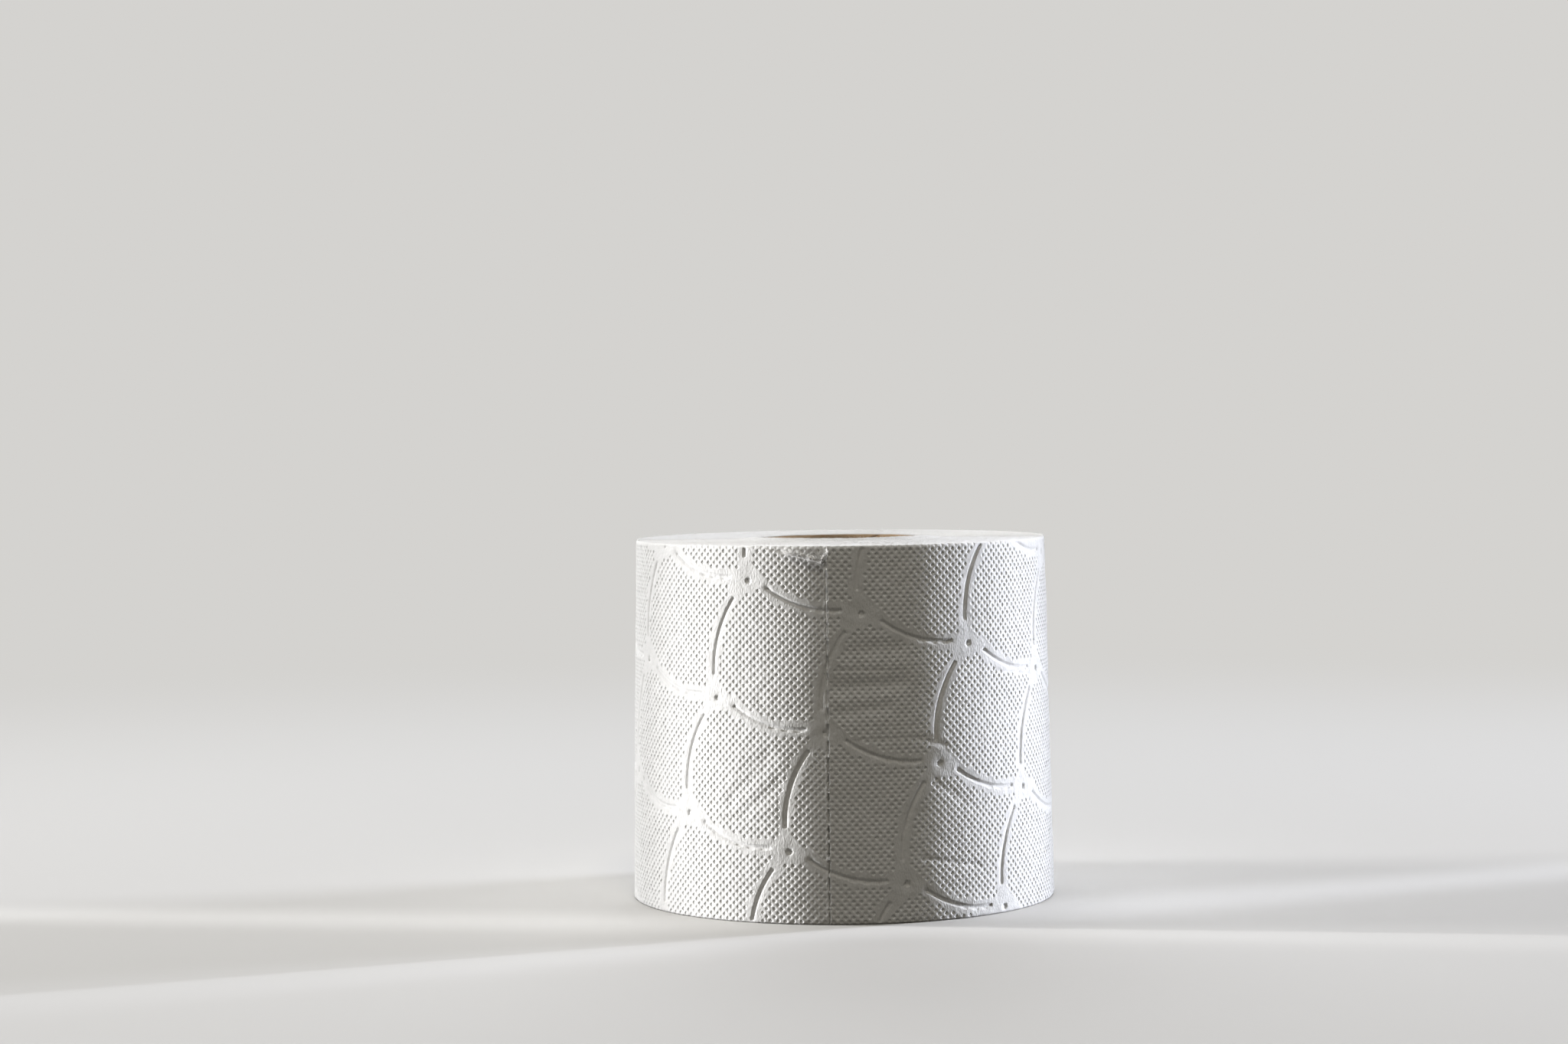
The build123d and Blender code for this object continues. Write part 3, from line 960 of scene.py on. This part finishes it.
def make_stage():
    """A plain pale floor that fades into the backdrop and gives the roll little light back."""
    material = bpy.data.materials.new("floor")
    material.use_nodes = True
    g = Graph(material.node_tree)
    shader = next(n for n in material.node_tree.nodes if n.type == "BSDF_PRINCIPLED")
    output = next(n for n in material.node_tree.nodes if n.type == "OUTPUT_MATERIAL")
    shader.inputs["Roughness"].default_value = 0.8
    seen = camera_sees(g)
    colour = mixed(g, seen, FLOOR_BOUNCE, FLOOR_COLOUR)
    g.tree.links.new(colour.socket, shader.inputs["Base Color"])
    x, y, _ = g.parts(g.node("ShaderNodeTexCoord", out="Object"))
    far = g.ease(g.length(x, y), 0.25, 0.9) * seen
    glow = g.node("ShaderNodeEmission", {"Color": (*BACKDROP, 1), "Strength": 1.0})
    blend = g.node("ShaderNodeMixShader", {0: far, 1: Wire(g, shader.outputs[0]), 2: glow})
    g.tree.links.new(blend.socket, output.inputs["Surface"])
    bpy.ops.mesh.primitive_plane_add(size=14.0, location=(0, 0, 0))
    floor = bpy.context.object
    floor.name = "floor"
    floor.data.materials.append(material)


def make_world():
    world = bpy.data.worlds.new("studio")
    bpy.context.scene.world = world
    world.use_nodes = True
    g = Graph(world.node_tree)
    background = next(n for n in world.node_tree.nodes if n.type == "BACKGROUND")
    colour = mixed(g, camera_sees(g), WORLD_LIGHT, BACKDROP)
    g.tree.links.new(colour.socket, background.inputs["Color"])


def way_to(azimuth, elevation):
    """The direction to a lamp; azimuth 0 is in front, positive to the right."""
    a = math.radians(azimuth)
    e = math.radians(elevation)
    return Vector((math.sin(a) * math.cos(e), -math.cos(a) * math.cos(e), math.sin(e)))


def lamp(name, azimuth, elevation, distance, size, level, colour):
    """A square lamp that looks at the roll's middle.

    Its level is how bright a white card would be that faces it at the roll."""
    data = bpy.data.lights.new(name, "AREA")
    data.shape = "SQUARE"
    data.size = size
    data.energy = level * math.pi**2 * distance**2
    data.color = colour
    target = Vector((0, 0, HEIGHT / 2 * MM))
    way = way_to(azimuth, elevation)
    obj = bpy.data.objects.new(name, data)
    obj.location = target + way * distance
    obj.rotation_euler = (-way).to_track_quat("-Z", "Y").to_euler()
    bpy.context.scene.collection.objects.link(obj)


def strip_lamp(name, azimuth, elevation, distance, beside, width, level, colour):
    """A soft strip of light that grazes the roll's front, beside its axis as seen from the lamp."""
    data = bpy.data.lights.new(name, "SPOT")
    data.spot_size = 2 * math.atan(width * MM / distance)
    data.spot_blend = 1.0
    data.shadow_soft_size = 0.012
    data.energy = level * 4 * math.pi**2 * distance**2
    data.color = colour
    way = way_to(azimuth, elevation)
    target = Vector((0, 0, HEIGHT / 2 * MM))
    across = Vector((0, 0, 1)).cross(way).normalized() * math.copysign(beside * MM, azimuth)
    obj = bpy.data.objects.new(name, data)
    obj.location = target + way * distance
    aim = (target - across - obj.location).to_track_quat("-Z", "Y")
    obj.rotation_euler = aim.to_euler()
    obj.scale = (1, STRIP_HEIGHT / width, 1)
    bpy.context.scene.collection.objects.link(obj)


def make_lamps():
    lamp("left_lamp", -95, 13, 1.6, 0.35, 0.95, LEFT_KEY)
    strip_lamp("left_strip", -96, 6, 1.6, 59, 22, 1.5, LEFT_KEY)
    lamp("right_lamp", 112, 13, 1.6, 0.35, 1.0, RIGHT_KEY)
    strip_lamp("right_strip", 111.5, 6, 1.6, 58, 26, 1.4, RIGHT_KEY)
    lamp("top_front", 8, 62, 1.4, 0.2, 0.175, WARM)
    lamp("back_fill", 188, 30, 1.6, 1.0, 0.29, COOL)
    lamp("overhead", 188, 86, 1.5, 0.9, 0.37, LEFT_KEY)


def make_camera():
    data = bpy.data.cameras.new("camera")
    data.lens = LENS
    data.sensor_width = SENSOR
    data.sensor_fit = "HORIZONTAL"
    ahead = Vector(
        (
            math.sin(CAMERA_YAW) * math.cos(CAMERA_PITCH),
            math.cos(CAMERA_YAW) * math.cos(CAMERA_PITCH),
            -math.sin(CAMERA_PITCH),
        )
    )
    right = Vector((math.cos(CAMERA_YAW), -math.sin(CAMERA_YAW), 0))
    up = right.cross(ahead)
    turned_right = right * math.cos(CAMERA_ROLL) + up * math.sin(CAMERA_ROLL)
    turned_up = up * math.cos(CAMERA_ROLL) - right * math.sin(CAMERA_ROLL)
    axes = Matrix((turned_right, turned_up, -ahead)).transposed()
    camera = bpy.data.objects.new("camera", data)
    place = Vector((0, -CAMERA_DISTANCE, CAMERA_HEIGHT)) * MM
    camera.matrix_world = Matrix.Translation(place) @ axes.to_4x4()
    bpy.context.scene.collection.objects.link(camera)
    bpy.context.scene.camera = camera


make_camera()
make_stage()
make_world()
make_lamps()
make_sheets(tissue_material())
make_wound_turns(cut_edge_material())
make_core(card_material())
fibres = fibre_material()
make_fibres(fibres)
make_torn_lip(fibres)
bpy.context.scene.view_settings.view_transform = "Standard"
